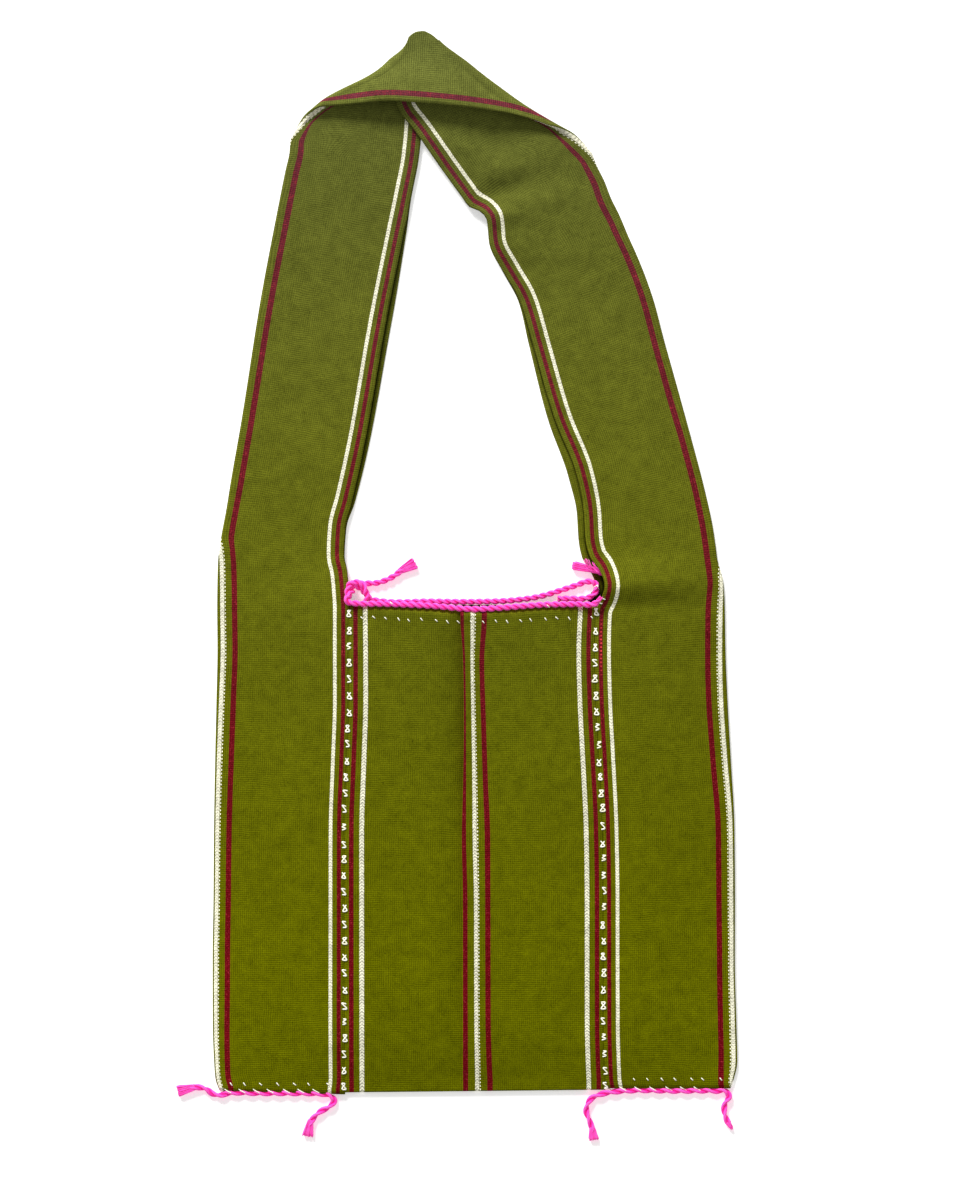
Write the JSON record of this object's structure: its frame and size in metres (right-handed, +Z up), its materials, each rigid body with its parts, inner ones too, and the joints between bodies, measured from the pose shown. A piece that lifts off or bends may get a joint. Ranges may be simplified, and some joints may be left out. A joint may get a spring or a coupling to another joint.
{
  "type": "cotton shoulder bag",
  "caption": "Flat hand-woven shoulder bag of striped cotton: a folded panel is the pocket, a folded strip is its side gussets and wide strap, and twisted cords edge the mouth.",
  "frame": {"origin": "middle of the bag's outline without its cords, on the surface that it lies on", "axes": "+X to the right as seen from above with the strap away, +Y from the pocket to the strap's crown, +Z up"},
  "size_m": [0.3327, 0.6635, 0.0155],
  "materials": {
    "striped_cotton": "plain-woven olive cotton with maroon and white warp stripes, matte",
    "pink_cord": "two-ply twisted cotton cord, soft sheen"
  },
  "bodies": {
    "root": {"pocket_panel": "striped_cotton", "gusset_strap": "striped_cotton", "mouth_cord_front": "pink_cord", "mouth_cord_back": "pink_cord", "mouth_cord_end": "pink_cord", "bottom_cord_left": "pink_cord", "bottom_cord_right": "pink_cord"}
  },
  "joints": []
}
